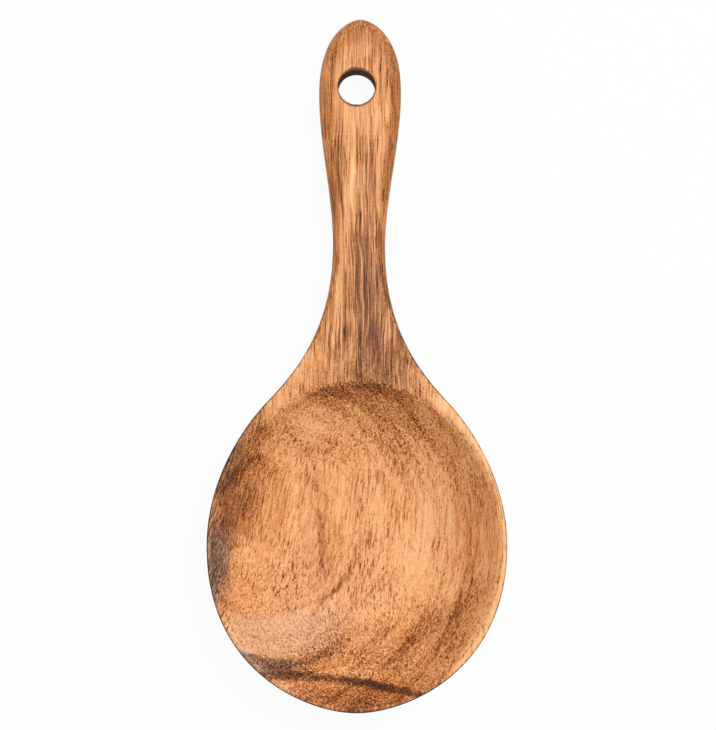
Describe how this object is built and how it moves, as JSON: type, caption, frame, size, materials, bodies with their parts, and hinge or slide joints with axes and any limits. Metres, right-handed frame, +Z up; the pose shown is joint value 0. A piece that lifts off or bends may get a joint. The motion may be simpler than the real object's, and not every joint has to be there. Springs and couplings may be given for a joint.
{
  "type": "wooden spoon",
  "caption": "Short wooden serving spoon with a broad rounded bowl, a level rim, and a flat-faced handle with a hanging hole.",
  "frame": {"origin": "on the table, under the middle of the spoon's length and width, with the spoon lying face up on its bowl and the underside of its handle's end", "axes": "+Z up out of the bowl, +Y along the spoon from the bowl towards the handle's end, +X to the right when the handle points away"},
  "size_m": [0.0774, 0.1794, 0.0218],
  "materials": {
    "acacia": "oiled, satin, long grain running from the handle through the bowl"
  },
  "bodies": {
    "root": {"spoon": "acacia"}
  },
  "joints": []
}
